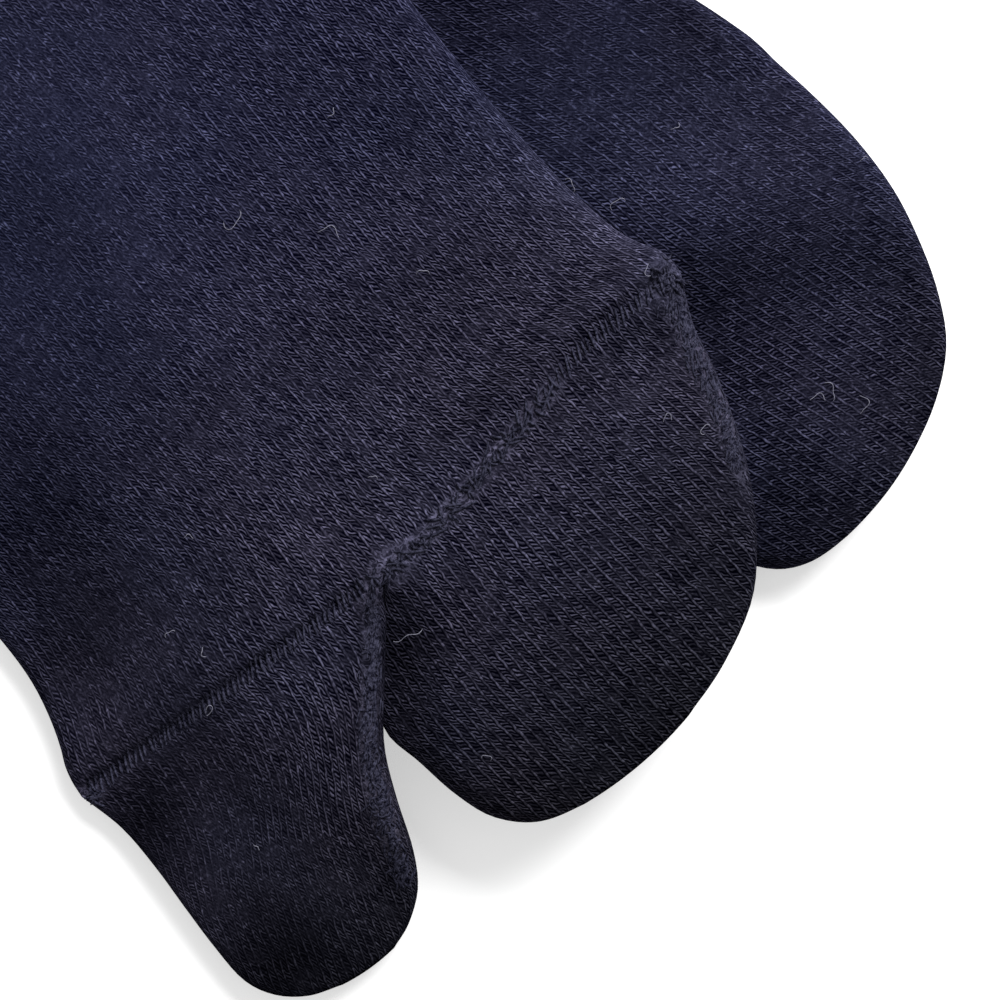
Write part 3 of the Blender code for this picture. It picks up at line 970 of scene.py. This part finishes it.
def instep_point(foot, across, past, proud):
    """A point over the instep's upper face near the toe seam, past it towards the cuff."""
    left, _, right, _, _ = foot.edges(0)
    along = seam_line(across) + past
    x, y = lay_out(foot.sock, across, along)
    gap = np.clip(np.minimum(across - left, right - across), 0, FOOT_THICK / 2)
    rise = np.sqrt(1 - (1 - gap / (FOOT_THICK / 2)) ** 2)
    height = FOOT_THICK / 2 * (1 + rise) + rise * foot.relief(x, y, across, along)
    return np.array([x, y, foot.ground.height(x, y) + height + proud]).T


def seam_stitches(foot, chance):
    """The linking: upright stitches over the groove at both ends, a tangled ridge in the middle."""
    yarns = Yarns(LINKING_RADIUS, 6)
    t = np.linspace(-1, 1, 7)
    for across in np.arange(*LINKED, STITCH_PITCH):
        middle = float(ease(across, -7, -3) * (1 - ease(across, 24, 28)))
        for _ in range(2 if middle > 0.5 else 1):
            lean = 0.45 + chance.normal(0, 0.12 + 1.0 * middle)
            reach = (1.05 - 0.35 * middle) * chance.uniform(0.8, 1.25)
            past = 0.15 - 0.5 * middle + chance.normal(0, 0.1 + 0.45 * middle)
            place = across + chance.normal(0, 0.06 + 0.3 * middle)
            bend = chance.normal(0, 0.05 + 0.35 * middle)
            path = instep_point(
                foot, place + lean * reach * t + bend * (1 - t**2), past + reach * t, 0.26 * (1 - t**2) - 0.10
            )
            yarns.add(path, LINKING_RADIUS * chance.uniform(0.8, 1.2))
    for centre, spread, count in KNOTS:
        for _ in range(count):
            turn, reach = chance.uniform(0, math.pi), chance.uniform(0.6, 1.2)
            place, past = chance.normal(centre, spread)
            curl = chance.normal(0, 0.4)
            path = instep_point(
                foot,
                place + reach * t * math.cos(turn) - curl * t**2 * math.sin(turn),
                past + reach * t * math.sin(turn) + curl * t**2 * math.cos(turn),
                0.3 * (1 - t**2) - 0.08,
            )
            yarns.add(path, KNOT_RADIUS)
    return yarns


class Edge:
    """The upper face of a pocket near its right-hand fold, as a grid of points to read places from."""

    def __init__(self, pocket):
        self.rows = np.linspace(0.0, EDGE_ROWS, 60)
        self.gaps = np.linspace(0.0, EDGE_GAP, 25)
        self.points = np.array([self.points_of(pocket, v) for v in self.rows])
        along = self.points[:, 0, 1]
        self.length = np.maximum(np.abs(np.gradient(along, self.rows)), 1.0)

    def points_of(self, pocket, v):
        rise = np.sqrt(1 - np.clip(1 - self.gaps / pocket.level(v), 0, 1) ** 2)
        return pocket.place(v, 1 - self.gaps / pocket.half_width(v), rise)

    def row_length(self, v):
        return np.interp(v, self.rows, self.length)

    def at(self, v, gap):
        """Points at those rows and gaps from the fold's outermost line."""
        row = np.clip(v / self.rows[1], 0, len(self.rows) - 1.001)
        column = np.clip(gap / self.gaps[1], 0, len(self.gaps) - 1.001)
        return read_grid(self.points, row, column)


def gore_stitches(yarns, pocket, chance):
    """Tangled stitches where a pocket's side is widened, near its right-hand fold."""
    gap, spread, rows, count = GORES[pocket.name]
    t = np.linspace(-1, 1, 6)
    edge = Edge(pocket)
    for _ in range(count):
        v = chance.uniform(*rows)
        turn, reach = chance.normal(1.2, 0.7), chance.uniform(0.35, 0.75)
        inwards = np.maximum(gap + chance.normal(0, spread) + reach * t * math.cos(turn), 0.25)
        path = edge.at(v + reach * t * math.sin(turn) / edge.row_length(v), inwards)
        path[:, 2] += 0.13 * (1 - t**2) - 0.06
        yarns.add(path, GORE_RADIUS * chance.uniform(0.85, 1.15))


def loose_fibres(ground, chance):
    """Stray fibres that lie on the cloth: place, way they start off, length, how much they curl."""
    yarns = Yarns(FIBRE_RADIUS, 4)
    for (x, y), way, length, curl in FIBRES:
        steps = np.linspace(0, 1, 14)
        headings = math.radians(way) + curl * steps + 0.5 * np.sin(steps * 9 + x)
        px = x + np.cumsum(np.cos(headings)) * length / 14
        py = y + np.cumsum(np.sin(headings)) * length / 14
        cells = [np.rint((np.array(p) - low) / GRID_STEP).astype(int) for p, low in zip((px, py), ground.low)]
        top = ground.top[cells[0], cells[1]] - LAYER_GAP
        rise = 0.10 + 0.45 * np.sin(steps * math.pi) * chance.uniform(0.4, 1.0)
        yarns.add(np.array([px, py, np.max(top) * 0.5 + top * 0.5 + rise]).T)
    return yarns


# ---------------------------------------------------------------- shaders


class Value:
    """A shader socket that can be used in sums."""

    def __init__(self, shader, socket):
        self.shader, self.socket = shader, socket

    def math(self, operation, *others):
        return self.shader.node("ShaderNodeMath", {"operation": operation}, [self, *others])

    def __add__(self, other):
        return self.math("ADD", other)

    def __sub__(self, other):
        return self.math("SUBTRACT", other)

    def __rsub__(self, other):
        return self.shader.node("ShaderNodeMath", {"operation": "SUBTRACT"}, [other, self])

    def __mul__(self, other):
        return self.math("MULTIPLY", other)

    __radd__ = __add__
    __rmul__ = __mul__

    def fraction(self):
        return self.math("FRACT")

    def whole(self):
        return self.math("FLOOR")

    def size(self):
        return self.math("ABSOLUTE")

    def largest(self, other):
        return self.math("MAXIMUM", other)

    def step(self, low, high):
        """0 at low and 1 at high, whichever is greater, and smooth between."""
        settings = {"interpolation_type": "SMOOTHSTEP", "clamp": True}
        first, last = (0.0, 1.0) if low < high else (1.0, 0.0)
        values = {"Value": self, "From Min": min(low, high), "From Max": max(low, high)}
        return self.shader.node(
            "ShaderNodeMapRange", settings, {**values, "To Min": first, "To Max": last}
        )


class Shader:
    """A material's nodes."""

    def __init__(self, name):
        self.material = bpy.data.materials.new(name)
        self.material.use_nodes = True
        self.tree = self.material.node_tree
        self.surface = self.tree.nodes["Principled BSDF"]

    def node(self, kind, settings, values, output=0):
        made = self.tree.nodes.new(kind)
        for name, setting in settings.items():
            setattr(made, name, setting)
        pairs = values.items() if isinstance(values, dict) else enumerate(values)
        for key, value in pairs:
            self.put(made.inputs[key], value)
        return Value(self, made.outputs[output])

    def put(self, socket, value):
        if isinstance(value, Value):
            self.tree.links.new(value.socket, socket)
        else:
            socket.default_value = value

    def surface_value(self, name, value):
        self.put(self.surface.inputs[name], value)

    def yarn_surface(self, colour, height, strength, distance):
        """Dull yarn of that colour, with bumps as high as distance where height is 1."""
        bump = {"Strength": strength, "Distance": distance, "Height": height}
        self.surface_value("Base Color", colour)
        self.surface_value("Roughness", YARN_ROUGHNESS)
        self.surface_value("Specular IOR Level", 0.0)
        self.surface_value("Normal", self.node("ShaderNodeBump", {}, bump))
        return self.material

    def noise(self, vector, scale, detail, roughness=0.5):
        settings = {"noise_dimensions": "3D"}
        values = {"Vector": vector, "Scale": scale, "Detail": detail, "Roughness": roughness}
        return self.node("ShaderNodeTexNoise", settings, values)

    def random(self, *places):
        """A number from 0 to 1 for each different set of places."""
        vector = self.node("ShaderNodeCombineXYZ", {}, list(places))
        return self.node("ShaderNodeTexWhiteNoise", {"noise_dimensions": "3D"}, {"Vector": vector})

    def mix(self, factor, first, second, blend="MIX"):
        first, second = ((*c, 1.0) if isinstance(c, tuple) else c for c in (first, second))
        settings = {"data_type": "RGBA", "blend_type": blend}
        return self.node("ShaderNodeMix", settings, {"Factor": factor, 6: first, 7: second}, output=2)

    def parts(self, vector):
        """A vector's three numbers."""
        split = self.node("ShaderNodeSeparateXYZ", {}, [vector])
        return [Value(self, socket) for socket in split.socket.node.outputs]


def knit_material(name, leg, instep, tip):
    """Plain knit: along each wale a line of stitches' legs, and between two lines their slanting others.

    The three colour arguments, for the leg, the instep and the toes' ends, are each a dark and a light
    colour.
    The dark one lies in the gaps between stitches and the light one on the loops, partly the yarn's own
    colour and partly painted shade in the gaps and painted highlight on the loops; the toes' pair is
    darker as painted shade. The mesh says where the stitches are tangled, where nap hides them, how far
    towards the toes a place is, and how much painted light or painted shade its colour carries.
    """
    shader = Shader(name)
    uv = shader.parts(shader.node("ShaderNodeUVMap", {"uv_map": "knit"}, []))
    marks = shader.node("ShaderNodeAttribute", {"attribute_name": "marks"}, [], output=1)
    tangled, nap, toes = shader.parts(marks)
    place = shader.node("ShaderNodeTexCoord", {}, [], output="Object")
    # The knit is uneven: wales wander and sway, and each starts its courses at its own place
    wander = shader.noise(place, 300.0, 2.0) - 0.5
    sway = shader.noise(place, 900.0, 1.0) - 0.5
    wale = uv[0] + wander * 0.5 + sway * 0.4
    column = wale.whole()
    x = wale - column
    course = uv[1] + wander * 0.9 + sway * 0.7 + shader.random(column, 3.0)
    # The line of legs that lie along the wale
    pulse = (course.fraction() - 0.5).size().step(0.55, 0.2)
    upright = (x - 0.2).size().step(0.21, 0.03) * (0.65 + 0.35 * pulse)
    upright = upright * (0.5 + 0.65 * shader.random(column, course.whole(), 1.0))
    upright = upright * (0.5 + 0.5 * shader.noise(place, 800.0, 1.0).step(0.36, 0.52))
    # The slanting ones between two lines
    slant = course + 2.15 * x
    dash = (slant.fraction() - 0.5).size().step(0.40, 0.06)
    dash = dash * (x - 0.66).size().step(0.37, 0.2)
    dash = dash * (0.25 + 0.75 * shader.random(column, slant.whole(), 2.0))
    # Tangled stitches
    curls = (shader.noise(place, 1000.0, 1.0) - 0.5).size().step(0.11, 0.01)
    twists = (shader.noise(place, 1500.0, 0.0) - 0.47).size().step(0.10, 0.01)
    tangle = 0.2 + 0.6 * curls.largest(twists * 0.8)
    # Fibres over all of it, and nap that hides the stitches in patches
    fibre = shader.noise(place, 3000.0, 2.0, 0.7)
    patch = shader.noise(place, 420.0, 3.0, 0.6).step(0.44, 0.68)
    fuzz = (patch * 0.5 + nap * 0.75).math("MINIMUM", 0.85)
    stitches = upright.largest(dash)
    tangled = tangled.step(0.15, 0.75)
    stitches = stitches + tangled * (tangle - stitches)
    height = stitches + fuzz * (0.105 + 0.39 * fibre - stitches)
    # The colour: painted glints on loops here and there, painted shade and highlight that follow the knit's
    # height, three parts of a sock with painted shade at the toes' ends, a faint tint and the mesh's painted
    # light and shade
    glint = shader.noise(place, 1700.0, 1.0).step(0.58, 0.70)
    painted_relief_shading = (height * (0.45 + 1.1 * fibre) * (0.85 + 0.7 * glint)).math("POWER", 1.3)
    cloud = shader.noise(place, 34.0, 3.0, 0.55).step(0.35, 0.65)
    # Towards the toes the hue shifts, then the colour darkens to the tip's as painted shade
    redder, darker = toes.step(0.0, 0.62), toes.step(0.55, 1.1)
    dark, light = (
        shader.mix(darker, shader.mix(redder, leg[k], instep[k]), tip[k]) for k in (0, 1)
    )
    # Painted shade and painted highlight: the dark colour in the knit's low places, the light one on its high
    # ones
    colour = shader.mix(painted_relief_shading, dark, light)
    tint = shader.mix(cloud, (0.96, 0.99, 1.01), (1.04, 1.0, 0.98))
    # The mesh's painted light and painted shade, multiplied into the colour
    shade = shader.node("ShaderNodeAttribute", {"attribute_name": "shade"}, [], output=2)
    shaded = shader.mix(1.0, shader.mix(1.0, colour, tint, "MULTIPLY"), shade, "MULTIPLY")
    return shader.yarn_surface(shaded, height, 0.8, 0.00016)


def yarn_material(name, dark, light):
    shader = Shader(name)
    place = shader.node("ShaderNodeTexCoord", {}, [], output="Object")
    grain = shader.noise(place, 2400.0, 3.0, 0.6).step(0.3, 0.7)
    return shader.yarn_surface(shader.mix(grain, dark, light), grain, 0.5, 0.00005)


def floor_material():
    shader = Shader("pale_floor")
    shader.surface_value("Base Color", FLOOR_GREY)
    shader.surface_value("Emission Color", (1.0, 1.0, 1.0, 1.0))
    shader.surface_value("Emission Strength", FLOOR_GLOW)
    shader.surface_value("Roughness", 0.95)
    shader.surface_value("Specular IOR Level", 0.1)
    return shader.material


# ---------------------------------------------------------------- the scene


def row_point(x, y):
    """A point of the pair's frame at floor level, in the row's frame and metres."""
    return TO_ROW @ Vector((x, y, 0.0))


def add_camera():
    """The camera, straight above. Returns which ways its picture's right and top are."""
    right = Vector((VIEW_RIGHT[0], VIEW_RIGHT[1], 0.0)).normalized()
    up = Vector((-right.y, right.x, 0.0))
    data = bpy.data.cameras.new("camera")
    data.lens = LENS
    data.sensor_width = SENSOR
    data.clip_start = 0.01
    camera = new_object("camera", data)
    distance = VIEW_WIDTH * MM * LENS / SENSOR
    camera.matrix_world = Matrix.LocRotScale(
        row_point(*VIEW_CENTRE) + Vector((0.0, 0.0, distance + VIEW_LEVEL * MM)),
        Matrix((right, up, Vector((0.0, 0.0, 1.0)))).transposed(),
        None,
    )
    bpy.context.scene.camera = camera
    return right, up


def add_window(toward):
    """A soft square light, from that way across the floor, aimed at the middle of what shows."""
    data = bpy.data.lights.new("window", "AREA")
    data.size = WINDOW_SIZE
    data.energy = WINDOW_POWER
    light = new_object("window", data)
    target = row_point(*VIEW_CENTRE)
    light.location = target + toward.normalized() * WINDOW_DISTANCE + Vector((0.0, 0.0, WINDOW_HEIGHT))
    light.rotation_euler = (light.location - target).to_track_quat("Z", "Y").to_euler()


def light_room():
    """Even light from all sides."""
    world = bpy.data.worlds.new("room")
    world.use_nodes = True
    background = world.node_tree.nodes["Background"]
    background.inputs["Color"].default_value = (1.0, 1.0, 1.0, 1.0)
    background.inputs["Strength"].default_value = ROOM_LIGHT
    bpy.context.scene.world = world


def add_floor():
    bpy.ops.mesh.primitive_plane_add(size=FLOOR_SIZE, location=(0.0, 0.0, -FLOOR_DEPTH))
    floor = bpy.context.active_object
    floor.name = "floor"
    floor.data.materials.append(floor_material())


def move_to_row(tubes):
    """The move from the pair's frame to the row's, in which the pair's box is centred."""
    lows, highs = [], []
    for tube in tubes:
        for v in np.linspace(0, tube.last, 60):
            points = tube.place(v, np.linspace(-1, 1, 9), np.zeros(9))
            lows.append(points.min(axis=0))
            highs.append(points.max(axis=0))
    middle = (np.min(lows, axis=0) + np.max(highs, axis=0)) / 2
    return Matrix.Diagonal((MM, MM, MM, 1.0)) @ Matrix.Translation((-middle[0], -middle[1], 0.0))


ground = Ground()
TO_ROW = move_to_row([tube for name in LAY for tube in Sock(name, ground).main_tubes()])
pieces, left = build_socks()

# Each pair: the dark colour partly painted shade in the gaps between stitches, the light one partly painted
# highlight on the loops
plain = knit_material(
    "instep_knit",
    ((0.0002, 0.0003, 0.0032), (0.054, 0.057, 0.111)),
    ((0.0002, 0.0002, 0.0022), (0.0755, 0.0725, 0.118)),
    # The toes' ends: darker, as painted shade
    ((0.0001, 0.0001, 0.0007), (0.0260, 0.0255, 0.0335)),
)
# Each pair: the dark colour partly painted shade in the gaps between stitches, the light one partly painted
# highlight on the loops
sole = knit_material(
    "sole_knit",
    ((0.0002, 0.0003, 0.0032), (0.049, 0.052, 0.103)),
    ((0.0002, 0.0002, 0.0025), (0.065, 0.066, 0.121)),
    # The toes' ends: darker, as painted shade
    ((0.0001, 0.0001, 0.0010), (0.0240, 0.0240, 0.0355)),
)
linking = yarn_material("linking_yarn", (0.002, 0.002, 0.005), (0.034, 0.034, 0.055))
stray = yarn_material("stray_fibre", (0.10, 0.10, 0.13), (0.20, 0.20, 0.25))
for obj in pieces.values():
    obj.data.materials.append(plain if obj.name.startswith("left") else sole)

# For each kind of piece: the solids that it stands for, its finish, and its cut before it is laid
# flat: the way round the tube, the length and the area (metres)
KINDS = {
    "sock": (("foot_leg", "big_toe", "four_toes"), "plain_knit", (0.178, 0.302, 0.0525)),
    "ribbed_cuff": (("cuff",), "rib_knit", (0.156, 0.036, 0.0056)),
    "heel_flap": (("heel",), "heel_knit", (0.082, 0.082, 0.0049)),
}
chance = np.random.default_rng(SEED)
stitches = seam_stitches(left.foot, chance)
gore_stitches(stitches, left.big_toe, chance)
gore_stitches(stitches, left.four_toes, chance)
seam = stitches.build("left_toe_linking", linking)
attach(seam, "root")
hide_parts("left_toe_seam")

# The right sock's seam is under it and out of sight, so its solid stays, in the same yarn
hidden_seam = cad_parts["right_toe_seam"]
hidden_seam.data.materials.clear()
hidden_seam.data.materials.append(linking)

# The fibres lie on the left sock too
for tube in left.main_tubes():
    tube.settle()
fibres = loose_fibres(left.ground, chance).build("stray_fibres", stray)
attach(fibres, "root")

for obj in pieces.values():
    side, _, part = obj.name.partition("_")
    nodes, finish, (around, length, area) = KINDS[part]
    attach(obj, "root")
    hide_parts(*(f"{side}_{node}" for node in nodes))

image_right, image_up = add_camera()
add_floor()
add_window(image_up + 0.5 * image_right)
light_room()
bpy.context.scene.view_settings.view_transform = "Standard"
